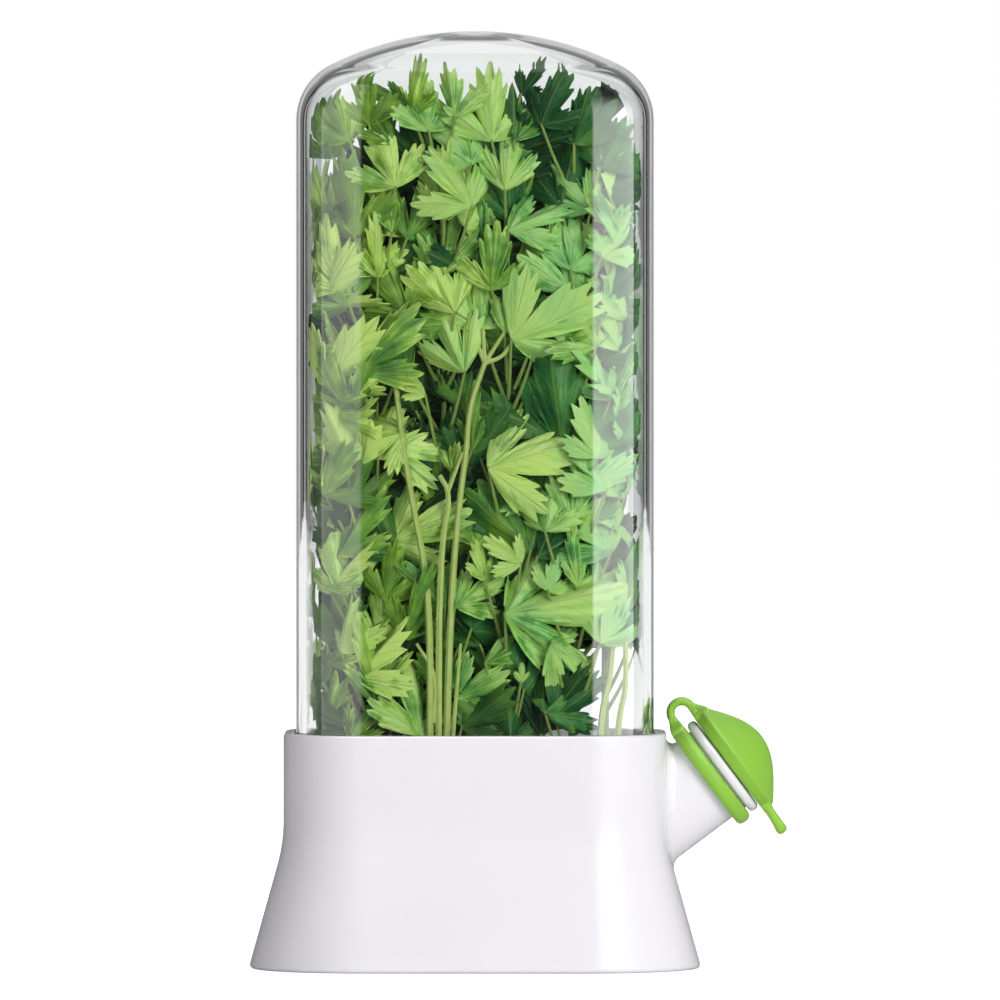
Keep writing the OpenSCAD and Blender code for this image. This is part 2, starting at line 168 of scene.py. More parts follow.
# The room is white to the camera and plain to the object. What the clear cover's edges bend
# into view is a studio with dark flats: they draw the cover's edges, from every side
room = bpy.data.worlds.new("studio_room")
bpy.context.scene.world = room
room.use_nodes = True
nodes = Nodes(room.node_tree)
way = nodes.split(nodes("TexCoord").outputs["Generated"])
bearing = nodes.maths("ABSOLUTE", nodes.maths("ARCTAN2", way["X"], way["Y"]))
FRONT_FROM = 1.7        # bearings above this, in radians from the back, are in front
is_camera, is_gloss, is_clear, bounced = seen_by(
    nodes, nodes.maths("GREATER_THAN", bearing, FRONT_FROM))
around = flats(nodes, nodes.maths("PINGPONG", bearing, math.pi / 4), (
    (0, 1), (7, 1), (12, 0.5), (20, 0.5), (25, 0.08), (34, 0.02), (43.4, 0.02), (44.2, 0.9),
    (180, 0.9)))
above = flats(nodes, nodes.maths("ABSOLUTE", nodes.maths("ARCSINE", way["Z"])), (
    (0, 0.75), (6, 0.65), (19, 0.5), (23, 0.02), (32, 0.02), (37, 0.8), (180, 0.9)))
# The dark flats above show only where the light has bounced along inside the wall
high = nodes.mix(bounced, (0.95, 0.95, 0.95), above)
dark_flats = nodes.mix(1.0, around, high, blend_type="DARKEN")
shown = nodes("Background", {"Color": WHITE, "Strength": 0.27})
for ray, colour, strength in ((is_gloss, WHITE, 0.04), (is_clear, dark_flats, 1.0),
                              (is_camera, WHITE, 1.0)):
    light = nodes("Background", {"Color": colour, "Strength": strength})
    shown = nodes("MixShader", {0: ray, 1: shown.outputs[0], 2: light.outputs[0]})
nodes("OutputWorld", {"Surface": shown.outputs[0]})

# Floor: white with the object's soft shadow on it, and dull in reflections
bpy.ops.object.select_all(action="DESELECT")
bpy.ops.mesh.primitive_plane_add(size=12, location=(0, 0, 0))
floor = bpy.context.object
floor.name = "studio_floor"
floor_white, nodes = new_material("floor_white")
spot = nodes("TexCoord").outputs["Object"]
is_camera, is_gloss, is_clear, _ = seen_by(
    nodes, nodes.maths("LESS_THAN", nodes.split(spot)["Y"], -0.3))
lit = nodes.maths("MAXIMUM", is_camera, is_clear)
away = nodes("VectorMath", {0: spot}, operation="LENGTH").outputs["Value"]
tint = nodes.mix(lit, (0.82, 0.82, 0.83), (0.32, 0.32, 0.33))
nodes.finish(nodes("BsdfPrincipled", {
    "Base Color": nodes.mix(is_gloss, tint, (0.1, 0.1, 0.1)),
    "Roughness": 0.9,
    "Specular IOR Level": 0.1,
    "Emission Color": WHITE,
    "Emission Strength": nodes.maths("MULTIPLY", lit, nodes.span(away, (0.85, 1.0), (0.3, 2.0)))}))
floor.data.materials.append(floor_white)


def soft_lamp(name, place, size, power, target=(0, 0, 0.13)):
    """A large soft lamp, which the clear cover's refraction does not show."""
    lamp = bpy.data.lights.new(name, "AREA")
    lamp.shape = "RECTANGLE"
    lamp.size, lamp.size_y = size
    lamp.energy = power
    holder = placed(name, lamp)
    point_at(holder, place, target)
    holder.visible_transmission = False
    return holder


lamps = [soft_lamp("key_lamp", (1.3, -1.9, 0.8), (1.1, 1.3), 38),
         soft_lamp("fill_lamp", (-0.6, -2.4, 0.6), (1.0, 1.2), 5),
         soft_lamp("top_lamp", (0.1, 0.2, 2.0), (1.4, 1.4), 13),
         soft_lamp("back_lamp", (-0.4, 2.2, 1.2), (1.6, 1.4), 20),
         soft_lamp("rim_lamp", (0, -0.6, 1.4), (1.6, 0.8), 26)]
# The last one only draws the highlight along the base's rim and the sheen of the leaves
lamps[-1].visible_diffuse = False


def gloss_card(name, near, far, height, strength, at_top=1.0):
    """An upright white card between two places, seen only as a reflection in gloss, weaker
    towards its top and soft along its near end."""
    bpy.ops.mesh.primitive_plane_add(size=1)
    card = bpy.context.object
    card.name = name
    for v, place, z in zip(card.data.vertices, (near, far, near, far), (0, 0, height, height)):
        v.co = (*place, z)
    glow, nodes = new_material(name)
    spot = nodes.split(nodes("TexCoord").outputs["Object"])
    lit = nodes("LightPath").outputs["Is Glossy Ray"]
    # A card on one side fades in from its near end; the one behind spans both and doesn't
    inner = abs(near[0]) if near[0] * far[0] > 0 else -1
    for along, first, last, ends in (
            (spot["Z"], 0.5, 1.5, (strength, at_top * strength)),
            (nodes.maths("ABSOLUTE", spot["X"]), inner, inner + 0.16, (0, 1))):
        lit = nodes.maths("MULTIPLY", lit, nodes.span(along, ends, (first, last), smooth=True))
    nodes.finish(nodes("Emission", {"Strength": lit}))
    card.data.materials.append(glow)
    for ray in ("camera", "diffuse", "transmission", "volume_scatter", "shadow"):
        setattr(card, "visible_" + ray, False)
    return card


cards = [gloss_card("left_card", (-0.22, -2.0), (-1.9, -0.42), 2.6, 3.1, 0.8),
         gloss_card("right_card", (0.42, -2.0), (1.9, -0.05), 2.6, 7.2, 0.05),
         gloss_card("back_card", (-2.4, 1.8), (2.4, 1.8), 3.4, 1.0)]


# ---- The base ----
# A gloss white ABS moulding, straight under its rim and flared to its foot, with seats for
# the cover and the basket inside, and the filler neck moulded on at the right.
FLAT_W, FLAT_D, CORNER_R = 33.2, 16.0, 25.0     # half straights of the rim's plan, its corners
RIM_Z, SEAT_Z, WALL = 71.3, 61.3, 3.2           # heights of rim and cover seat, thickness
FLARE_Z, FLARE_R, FLARE_ANGLE = 45.0, 51.0, math.radians(15.6)
NECK_R, BORE_R = 14.3, 11.0
LIP = Vector((76.8, 0, 61.8)) * MM              # centre of the lip's face
SPOUT_RISE = math.radians(36.8)
OUT_OF_SPOUT = Vector((math.cos(SPOUT_RISE), 0, math.sin(SPOUT_RISE)))
TO_TAB = Vector((math.sin(SPOUT_RISE), 0, -math.cos(SPOUT_RISE)))
SPOUT = Matrix((
    (TO_TAB.x, 0, OUT_OF_SPOUT.x, LIP.x), (0, 1, 0, 0),
    (TO_TAB.z, 0, OUT_OF_SPOUT.z, LIP.z), (0, 0, 0, 1)))    # from round Z to round the spout


def start():
    """Object mode with nothing selected, as before each new primitive."""
    if bpy.context.mode != "OBJECT":
        bpy.ops.object.mode_set(mode="OBJECT")
    bpy.ops.object.select_all(action="DESELECT")


def only(obj):
    """Selects one object and makes it the active one."""
    start()
    obj.select_set(True)
    bpy.context.view_layer.objects.active = obj
    return obj


def modify(obj, kind, **settings):
    """Adds a modifier and applies it."""
    only(obj)
    modifier = obj.modifiers.new(kind.lower(), kind)
    for key, value in settings.items():
        setattr(modifier, key, value)
    bpy.ops.object.modifier_apply(modifier=modifier.name)
    return obj


def joined(name, *parts):
    """Joins meshes into one, under the name of the piece."""
    only(parts[0])
    for part in parts:
        part.select_set(True)
    bpy.ops.object.join()
    parts[0].name = parts[0].data.name = name
    return parts[0]


def arc(centre, r, first, last, steps):
    """Points on a round of a section, between two angles in degrees."""
    turn = [math.radians(first + (last - first) * i / steps) for i in range(steps + 1)]
    return [(centre[0] + r * math.cos(a), centre[1] + r * math.sin(a)) for a in turn]


def outward(co):
    """The way straight out of the rim's plan at a point of a wall."""
    x = math.copysign(max(abs(co.x) - FLAT_W * MM, 0), co.x)
    y = math.copysign(max(abs(co.y) - FLAT_D * MM, 0), co.y)
    return Vector((x, y, 0)).normalized()


def plan_ring(grow, z, steps):
    """A ring of vertices on the rim's plan, moved out by a distance: the start of a wall."""
    start()
    bpy.ops.mesh.primitive_circle_add(vertices=4 * (steps + 1))
    ring = bpy.context.object
    for i, v in enumerate(ring.data.vertices):
        quarter, step = divmod(i, steps + 1)
        a = math.radians(90 * quarter + 90 * step / steps)
        sx, sy = (1, 1, -1, -1)[(quarter + 1) % 4], (1, 1, -1, -1)[quarter]
        v.co = Vector((sx * FLAT_W + (CORNER_R + grow) * math.cos(a),
                       sy * FLAT_D + (CORNER_R + grow) * math.sin(a), z)) * MM
    return ring


def apply_place():
    """Applies the active object's place, turn and scale to its mesh."""
    bpy.ops.object.transform_apply(location=True, rotation=True, scale=True)


def edit_all():
    """Edit mode with everything selected."""
    bpy.ops.object.mode_set(mode="EDIT")
    bpy.ops.mesh.select_all(action="SELECT")


def move_verts(obj, move, chosen=False):
    """Moves each vertex of the mesh in edit mode, or only the selected ones."""
    bm = bmesh.from_edit_mesh(obj.data)
    for v in bm.verts:
        if v.select or not chosen:
            v.co = move(v.co)
    bmesh.update_edit_mesh(obj.data)


def extrude_rings(ring, moves):
    """Extrudes the open ring again and again; each move places the new ring's vertices."""
    edit_all()
    for move in moves:
        bpy.ops.mesh.extrude_edges_move()
        move_verts(ring, move, chosen=True)


def drawn_along(line):
    """The moves that draw a ring from one half-width and height of a line to the next."""
    return [lambda co, s=b[0] / a[0], z=b[1] * MM: Vector((co.x * s, co.y * s, z))
            for a, b in zip(line, line[1:])]


def face_outwards():
    """Turns the faces of the active mesh outwards and leaves edit mode."""
    edit_all()
    bpy.ops.mesh.normals_make_consistent(inside=False)
    bpy.ops.object.mode_set(mode="OBJECT")


def close_up(obj):
    """Merges the seams and turns the faces outwards."""
    edit_all()
    bpy.ops.mesh.remove_doubles(threshold=1e-6)
    face_outwards()
    return obj


def fill_ends():
    """Closes both open ends of the mesh in edit mode."""
    bpy.ops.mesh.select_all(action="SELECT")
    bpy.ops.mesh.select_mode(type="EDGE")
    bpy.ops.mesh.region_to_loop()
    bpy.ops.mesh.edge_face_add()
    bpy.ops.mesh.select_mode(type="VERT")


def new_mesh(name, verts, faces):
    """A mesh object from points and faces, selected."""
    mesh = bpy.data.meshes.new(name)
    mesh.from_pydata(verts, [], faces)
    return only(placed(name, mesh))


def wall_round_plan(name, section, steps=20):
    """A closed wall whose section, as distance out and height, goes round the rim's plan."""
    ring = plan_ring(section[0][0], section[0][1], steps)
    hops = zip(section, section[1:] + section[:1])
    extrude_rings(ring, [
        (lambda co, out=b[0] - a[0], rise=b[1] - a[1]:
            co + outward(co) * out * MM + Vector((0, 0, rise * MM))) for a, b in hops])
    ring.name = ring.data.name = name
    return close_up(ring)


def revolved(name, section, steps=96, closed=True):
    """A ring or, if not closed, a body whose section, as radius and height, goes round Z."""
    start()
    bpy.ops.mesh.primitive_circle_add(vertices=steps, radius=section[0][0] * MM,
                                      location=(0, 0, section[0][1] * MM))
    ring = bpy.context.object
    apply_place()
    extrude_rings(ring, drawn_along(section + section[:1] if closed else section))
    if not closed:
        # Both ends are small rings on the axis, filled like the pip of a moulding
        fill_ends()
    ring.name = ring.data.name = name
    return close_up(ring)


def on_spout(obj):
    """Puts a part made round the Z axis on to the spout's axis."""
    only(obj)
    obj.matrix_world = SPOUT
    apply_place()
    return obj


def flare(z):
    """How far the base's outer wall stands out from the rim at a height."""
    end = FLARE_Z - FLARE_R * math.sin(FLARE_ANGLE)
    if z >= FLARE_Z:
        return 0.0
    if z >= end:
        return FLARE_R - math.sqrt(FLARE_R ** 2 - (FLARE_Z - z) ** 2)
    return FLARE_R * (1 - math.cos(FLARE_ANGLE)) + (end - z) * math.tan(FLARE_ANGLE)


def base_wall():
    """The wall with its rounded rim and foot, its two seats and the rebate for the plate."""
    foot, rim = 1.2, 0.9
    outside = [(flare(z), z) for z in (1.6, 6, 12, 18, 24, 29, 31.3)]
    outside += [(flare(z), z) for z in (33, 35, 37, 39, 41, 43, 45, 52, 61, 69)]
    inside = [(flare(z) - WALL, z) for z in (43, 41, 39, 37, 35, 33, 31.3, 18, 2.6)]
    plate_edge = flare(2.6) - WALL + 1.2
    return wall_round_plan("base_wall", (
        [(plate_edge, 0)] + arc((flare(foot) - foot, foot), foot, -90, -8, 6) + outside
        + arc((-rim, RIM_Z - rim), rim, 0, 90, 6)
        + arc((-WALL + 0.4, RIM_Z - 0.4), 0.4, 90, 180, 3)
        + [(-WALL, SEAT_Z), (-7.6, SEAT_Z), (-7.6, 59), (-11, 59), (-11, 57), (-WALL, 49)]
        + inside + [(plate_edge, 2.6)]))


def neck():
    """The filler neck and its lip bead, from inside the end wall outwards, with its bore."""
    bead = arc((15.2, -1.8), 1.4, -90, 0, 6) + arc((15.2, -1.4), 1.4, 0, 90, 6)
    tube = on_spout(revolved("neck", (
        [(NECK_R, -38), (NECK_R, -3.2)] + bead + arc((11.7, -0.7), 0.7, 90, 180, 4)
        + [(BORE_R, -38)])))
    # Cut off upright, 1.2 mm inside the end wall's outer face
    edit_all()
    bpy.ops.mesh.bisect(plane_co=(57 * MM, 0, 0), plane_no=(1, 0, 0), clear_inner=True,
                        use_fill=True)
    bpy.ops.object.mode_set(mode="OBJECT")
    return tube


def bore():
    """The tool that opens the bore through the end wall."""
    start()
    bpy.ops.mesh.primitive_cylinder_add(vertices=96, radius=BORE_R * MM, depth=40 * MM,
                                        location=(0, 0, -18 * MM))
    tool = bpy.context.object
    apply_place()
    return on_spout(tool)


def smooth(obj, angle=32):
    """Shades the rounds smooth and keeps the corners crisp."""
    only(obj)
    bpy.ops.object.shade_smooth_by_angle(angle=math.radians(angle))
    return obj


def neck_root_blend():
    """The soft fillet that runs round the neck where it leaves the end wall: a ball rolled
    along the corner, 2 mm in radius at the top and 4 mm underneath."""
    wall_x, around, across = FLAT_W + CORNER_R, 96, 10
    lift, run_in = 0.4, 1.2         # how far its edges dip into the neck and the wall
    verts, faces = [], []
    for i in range(around):
        phi = 2 * math.pi * i / around
        ball = 3.0 + 1.0 * math.cos(phi)
        want = (NECK_R + ball) * math.cos(phi)
        low, high = 10.0, 71.0
        for _ in range(50):
            z = (low + high) / 2
            slope = (flare(z + 0.01) - flare(z - 0.01)) / 0.02
            out = Vector((1, 0, -slope)).normalized()
            centre = Vector((wall_x + flare(z), 0, z)) + ball * out
            if (centre - LIP / MM).dot(TO_TAB) > want:
                low = z
            else:
                high = z
        centre.y = (NECK_R + ball) * math.sin(phi)
        to_neck = -(TO_TAB * math.cos(phi) + Vector((0, math.sin(phi), 0)))
        turn = to_neck.angle(-out)
        side = (-out - to_neck * to_neck.dot(-out)).normalized()
        run_out = [centre + (ball + lift) * to_neck + OUT_OF_SPOUT * 2,
                   centre + (ball - 0.02) * to_neck + OUT_OF_SPOUT * run_in]
        arc_points = [centre + ball * (to_neck * math.cos(turn * t / across)
                                       + side * math.sin(turn * t / across))
                      for t in range(across + 1)]
        away = (side * math.cos(turn) - to_neck * math.sin(turn)).normalized()
        run_on = [arc_points[-1] + away * run_in + out * 0.02,
                  arc_points[-1] + away * 2 - out * lift]
        verts += [p * MM for p in run_out + arc_points + run_on]
    row = across + 5
    for i in range(around):
        for j in range(row - 1):
            a, b = i * row + j, ((i + 1) % around) * row + j
            faces.append((a, b, b + 1, a + 1))
    blend = new_mesh("neck_root", verts, faces)
    face_outwards()
    # Outwards is away from the corner that the ball rolls in
    up = blend.data.polygons[0].normal.dot(centre * MM - blend.data.polygons[0].center)
    if up < 0:
        blend.data.flip_normals()
    return smooth(blend, 18)


base = base_wall()
modify(base, "BOOLEAN", operation="UNION", object=(tube := neck()), solver="EXACT")
modify(base, "BOOLEAN", operation="DIFFERENCE", object=(tool := bore()), solver="EXACT")
bpy.data.objects.remove(tube)
bpy.data.objects.remove(tool)
base.name = "base_shell_moulding"
smooth(base)
root = neck_root_blend()

# Shared by the plastics: faint drift of tone, and the fine waviness of a moulded skin
skin = bpy.data.node_groups.new("moulded_skin", "ShaderNodeTree")
for name, side in (("Grain", "INPUT"), ("Drift", "OUTPUT"), ("Sheen", "OUTPUT"),
                   ("Height", "OUTPUT")):
    skin.interface.new_socket(name, in_out=side, socket_type="NodeSocketFloat")
nodes = Nodes(skin)
place = nodes("TexCoord").outputs["Object"]
grain = nodes("NodeGroupInput").outputs["Grain"]
nodes("NodeGroupOutput", {"Drift": nodes.noise(place, 35.0, 2),
                          "Sheen": nodes.noise(place, 110.0, 4),
                          "Height": nodes.noise(place, grain, 3)})


def moulded(name, colours, grain, roughness, bump, **sockets):
    """A moulded plastic: two close tones that drift, a roughness that varies, fine bump."""
    material, nodes = new_material(name)
    surface = nodes("Group", {"Grain": grain}, node_tree=skin).outputs
    nodes.finish(nodes("BsdfPrincipled", {
        "Base Color": nodes.mix(surface["Drift"], *colours),
        "Roughness": nodes.span(surface["Sheen"], roughness),
        "Normal": nodes.bump(surface["Height"], bump, 0.2 * MM),
        **{socket.replace("_", " "): value for socket, value in sockets.items()}}))
    return material


white_gloss = moulded("white_gloss", ((0.83, 0.81, 0.85), (0.87, 0.845, 0.885)), 260,
                      (0.2, 0.3), 0.05, IOR=1.5, Coat_Weight=0.25, Coat_Roughness=0.12)


def dress(obj, material, body):
    """Gives a finished piece its material and its body."""
    obj.data.materials.clear()
    obj.data.materials.append(material)
    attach(obj, body)
    return obj


dress(base, white_gloss, "base")
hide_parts("base_shell")
dress(root, white_gloss, "base")

# The plate that closes the base from below and the basket that carries the stems are
# satin mouldings of the same white plastic; both keep their CAD shapes.
white_satin = moulded("white_satin", ((0.80, 0.79, 0.81), (0.85, 0.84, 0.86)), 600,
                      (0.34, 0.46), 0.12, IOR=1.5)
for node in ("base_plate", "herb_basket"):
    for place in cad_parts[node].material_slots:
        place.material = white_satin


# ---- Collar, strap and cap ----
# One soft silicone moulding in lime green. The collar grips the neck behind the lip, the
# strap loops over the lip, and the cap plugs the bore.
STRAP_AT = -20.5        # the middle of the strap's loop, across the spout's axis
lime = moulded("lime_silicone", ((0.25, 0.535, 0.045), (0.30, 0.60, 0.062)), 900,
               (0.42, 0.54), 0.10, IOR=1.42, Sheen_Weight=0.08, Sheen_Roughness=0.4)


def softened(obj, voxel=0.38, rounds=5):
    """Runs joined forms into one soft moulding, as silicone has no sharp inner corners."""
    modify(obj, "REMESH", mode="VOXEL", voxel_size=voxel * MM, use_smooth_shade=True)
    modify(obj, "SMOOTH", factor=0.5, iterations=rounds)
    only(obj)
    bpy.ops.object.shade_smooth()
    return obj


def strap_root(root, tip):
    """The foot of the strap on the collar or the cap: it swells from the strap's section
    into the whole edge. Root and tip are each a distance from the axis, low and high."""
    start()
    bpy.ops.mesh.primitive_cube_add(size=1)
    foot = bpy.context.object
    edit_all()
    bpy.ops.mesh.subdivide(number_cuts=5)

    def swollen(co):
        """A point of the plain cube's place in the foot."""
        t = co.x + 0.5
        swell = (1 - math.cos(math.pi * t)) / 2
        reach = tip[0] + (root[0] - tip[0]) * t
        low, high = (tip[n] + (root[n] - tip[n]) * swell for n in (1, 2))
        wide = 3.5 + 3.5 * swell ** 2
        return Vector((-reach, 2 * wide * co.y, low + (high - low) * (co.z + 0.5))) * MM
    move_verts(foot, swollen)
    face_outwards()
    return foot


def collar():
    """The collar ring with fully rounded edges, and the strap's foot on it."""
    back, front, r, edge = -8.5, -3.8, 17.8, 1.8
    foot = strap_root((16.6, -8.4, -3.9), (21.4, -6.45, -4.05))
    ring = revolved("collar", (
        [(14.4, back + 0.3)] + arc((14.7, back + 0.3), 0.3, 180, 270, 2)
        + arc((r - edge, back + edge), edge, -90, 0, 6)
        + arc((r - edge, front - edge), edge, 0, 90, 6)
        + arc((14.7, front - 0.3), 0.3, 90, 180, 2)), steps=128)
    return on_spout(softened(joined("collar", ring, foot)))


def pull_tab():
    """The finger tab: drawn in at its middle, full at its ends, round at its corners."""
    start()
    bpy.ops.mesh.primitive_cube_add(size=1)
    tab = bpy.context.object
    tab.scale = (12.4 * MM, 12 * MM, 3.4 * MM)
    tab.location = (4.5 * MM, 0, 0)
    apply_place()
    bpy.ops.object.mode_set(mode="EDIT")
    bpy.ops.mesh.select_all(action="DESELECT")
    bpy.ops.mesh.select_mode(type="EDGE")
    bm = bmesh.from_edit_mesh(tab.data)
    for edge in bm.edges:
        a, b = edge.verts
        edge.select = a.co.x > 5 * MM and b.co.x > 5 * MM and abs(a.co.z - b.co.z) > MM
    bpy.ops.mesh.bevel(offset=4 * MM, segments=8)
    bpy.ops.mesh.select_all(action="SELECT")
    bpy.ops.mesh.bevel(offset=1.2 * MM, segments=5)
    bpy.ops.mesh.select_all(action="SELECT")
    bpy.ops.mesh.subdivide(number_cuts=3)

    def waisted(co):
        """A point of the tab, drawn in towards the tab's middle."""
        draw = math.sin(math.pi * min(max(co.x / (9 * MM), 0), 1))
        return Vector((co.x, co.y * (1 - 0.05 * draw), co.z * (1 - 0.22 * draw)))
    move_verts(tab, waisted)
    bpy.ops.object.mode_set(mode="OBJECT")
    only(tab)
    tab.rotation_euler = (0, math.radians(4), 0)
    tab.location = (16.8 * MM, 0, 1.9 * MM)
    apply_place()
    return tab


def cap():
    """The cap: a skirt that leans out to a soft edge, a dome that is steep at its foot and
    flat at its tip, the hollow plug under it, the tab and the strap's foot."""
    dome = [(18.3 * (1 - t), 4.0 + 9.5 * math.sin(math.pi / 2 * t))
            for t in [i / 24 for i in range(1, 24)]]
    body = revolved("cap", (
        [(0.3, 5.8), (5.4, 5.6), (8, 3.2), (8, -3.7), (8.3, -4.0), (10.0, -4.0), (10.6, -3.4),
         (10.6, 0.2), (16.8, 0.2), (17.3, 0.5)]
        + arc((17.5, 3.6), 0.8, -20, 45, 5) + dome + [(0.3, 13.48)]), steps=128, closed=False)
    tab = pull_tab()
    foot = strap_root((16.2, 0.3, 5.5), (21.2, 0.45, 2.85))
    return on_spout(softened(joined("cap", body, tab, foot)))


def strap():
    """The strap: a flat band bent round a loop from the collar to the cap."""
    middle, half, width, points = 3.45, 1.25, 7.0, 28
    path = [(2.4, -middle), (1.2, -middle)]
    path += [(middle * math.cos(math.radians(a)), middle * math.sin(math.radians(a)))
             for a in range(-90, -271, -9)]
    path += [(1.2, middle), (2.4, middle)]

    def section(at):
        """The band's rounded cross-section at one place along the loop."""
        (x, z), before, after = path[at], path[max(at - 1, 0)], path[min(at + 1, len(path) - 1)]
        run = Vector((after[0] - before[0], 0, after[1] - before[1])).normalized()
        side = Vector((run.z, 0, -run.x))
        end = max(0.0, x - 0.6) / 1.8
        wide = width / 2 * (1 + 0.5 * end ** 1.5)
        ring = []
        for i in range(points):
            turn = 2 * math.pi * i / points
            squared = [math.copysign(abs(c) ** 0.55, c) for c in (math.cos(turn), math.sin(turn))]
            ring.append((Vector((x + STRAP_AT, 0, z - 1.8)) + side * half * squared[1]
                         + Vector((0, wide * squared[0], 0))) * MM)
        return ring

    # One end of the band, drawn as a rounded flat, is extruded from place to place
    start()
    bpy.ops.mesh.primitive_cube_add(size=1)
    band = bpy.context.object
    edit_all()
    bpy.ops.mesh.delete(type="VERT")
    bpy.ops.mesh.primitive_circle_add(vertices=points)
    first = iter(section(0))
    move_verts(band, lambda co: next(first))
    extrude_rings(band, [
        lambda co, old=section(at - 1), new=section(at):
            new[min(range(points), key=lambda i: (old[i] - co).length)]
        for at in range(1, len(path))])
    fill_ends()
    close_up(band)
    band.name = band.data.name = "strap"
    only(band)
    bpy.ops.object.shade_smooth()
    return on_spout(band)


collar_piece = dress(collar(), lime, "base")
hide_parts("cap_ring")
cap_piece = dress(cap(), lime, "cap")
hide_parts("spout_cap")
strap_piece = strap()
strap_piece.data.materials.append(lime)
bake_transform(strap_piece)
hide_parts("cap_strap")


# ---- The cover ----
# One piece of clear, polished plastic, 3 mm thick, moulded as a tall box with rounded
# corners under a low dome. It stands on the seat inside the base's rim.
COVER_HALF, TOP_Z = 54.4, 285.0


def dome_line():
    """The dome's outline from the shoulders to the top, as half-width and height."""
    r, drop = 19.0, 27.4
    shoulder = COVER_HALF - r
    crown = (shoulder ** 2 + drop ** 2 - r ** 2) / (2 * (drop - r))
    meet = math.atan2(crown - drop, shoulder)
    line = [(shoulder + r * math.cos(meet * i / 14), TOP_Z - drop + r * math.sin(meet * i / 14))
            for i in range(15)]
    rest = math.pi / 2 - meet
    # The rings get closer near the top, so that no point of the last one shows
    return line + [(crown * math.cos(meet + rest * i / 16),
                    TOP_Z - crown + crown * math.sin(meet + rest * i / 16))
                   for i in (*range(1, 16), 15.5, 15.8, 15.93, 15.98)]


def cover():
    """Rings of the plan extruded up the wall and drawn in over the dome, then walled."""
    play = -3.8                     # from the rim's outline in to the cover's
    ring = plan_ring(play, SEAT_Z, 20)
    wall = [(COVER_HALF, z) for z in (SEAT_Z, 64, 90, 130, 170, 210, 240)]
    extrude_rings(ring, drawn_along(wall + dome_line()))
    bpy.ops.mesh.extrude_edges_move()
    bpy.ops.mesh.merge(type="CENTER")
    bm = bmesh.from_edit_mesh(ring.data)
    max(bm.verts, key=lambda v: v.co.z).co = (0, 0, TOP_Z * MM)
    bmesh.update_edit_mesh(ring.data)
    close_up(ring)
    modify(ring, "SOLIDIFY", thickness=3 * MM, offset=-1, use_even_offset=True,
           use_quality_normals=True)
    ring.name = ring.data.name = "clear_cover"
    return smooth(ring, 40)


def clear_plastic():
    """Clear polished plastic. Lamps shine through it; faint smears dull it in places, and its skin
    is a little wavy. Its edges carry painted shade: its colour turns dark where it is seen along
    its skin."""
    material, nodes = new_material("clear_polished")
    surface = nodes("Group", {"Grain": 28}, node_tree=skin).outputs
    # Painted shade: where the plastic is seen along its skin its colour is turned dark, which draws
    # the cover's edges as dark lines
    facing = nodes("LayerWeight", {"Blend": 0.5}).outputs["Facing"]
    edge = nodes.span(facing, (0, 1), (0.78, 1.0), smooth=True)
    clear = nodes("BsdfPrincipled", {
        "Base Color": nodes.mix(edge, (0.965, 0.985, 0.98), (0.05, 0.05, 0.055)),
        "Transmission Weight": 1,
        "IOR": 1.49,
        "Roughness": nodes.span(surface["Sheen"], (0.0, 0.03)),
        "Normal": nodes.bump(surface["Height"], 0.06, 0.4 * MM)})
    for_lamps = nodes("BsdfTransparent", {"Color": (0.93, 0.95, 0.94)})
    is_shadow = nodes("LightPath").outputs["Is Shadow Ray"]
    nodes.finish(nodes("MixShader", {0: is_shadow, 1: clear.outputs[0], 2: for_lamps.outputs[0]}))
    return material


cover_piece = dress(cover(), clear_plastic(), "cover")
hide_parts("cover")
# The studio's cards are for the cover's gloss alone, and its lamps for all but the cover
for staged, kept, state in ((cards, "cover_gloss", "INCLUDE"),
                            (lamps, "all_but_cover", "EXCLUDE")):
    group = bpy.data.collections.new(kept)
    group.objects.link(cover_piece)
    group.collection_objects[0].light_linking.link_state = state
    for holder in staged:
        holder.light_linking.receiver_collection = group


# ---- The parsley ----
# Flat-leaf sprigs stood in the basket. Each leaf is a thin blade of three toothed lobes
# folded along their veins, on a thin stalk that grows from the sprig's stem.
# Half a lobe's edge: how far round it each point is, and how far out, tooth by tooth; and
# how far out along the leaf its rows are. The leaves behind have fewer points
FINE = (((0, 1.0), (0.06, 0.985), (0.12, 0.91), (0.17, 0.84), (0.22, 0.86), (0.29, 0.94),
         (0.36, 0.955), (0.42, 0.90), (0.48, 0.78), (0.53, 0.74), (0.59, 0.79), (0.67, 0.85),
         (0.74, 0.83), (0.82, 0.70), (0.92, 0.56), (1.0, 0.40)), (0.0, 0.22, 0.45, 0.66, 0.84, 1.0))
PLAIN = (((0, 1.0), (0.09, 0.94), (0.18, 0.83), (0.34, 0.955), (0.52, 0.74), (0.7, 0.85),
          (0.85, 0.64), (1.0, 0.42)), (0.0, 0.5, 0.8, 1.0))
FAR = (((0, 1.0), (0.2, 0.84), (0.4, 0.95), (0.72, 0.8), (1.0, 0.42)), (0.0, 0.6, 1.0))
# Each kind of leaf: its lobes as direction, length and half-width in degrees
KINDS = {
    "broad": ((-52, 0.72, 34), (0, 1.0, 34), (52, 0.72, 34)),
    "long": ((-36, 0.62, 26), (0, 1.0, 24), (36, 0.62, 26)),
    "narrow": ((-24, 0.5, 18), (0, 1.0, 17), (24, 0.5, 18)),
    "kite": ((-34, 0.86, 24), (0, 1.0, 28), (34, 0.86, 24)),
    "fan": ((-62, 0.66, 30), (-4, 0.92, 36), (56, 0.8, 32)),
}


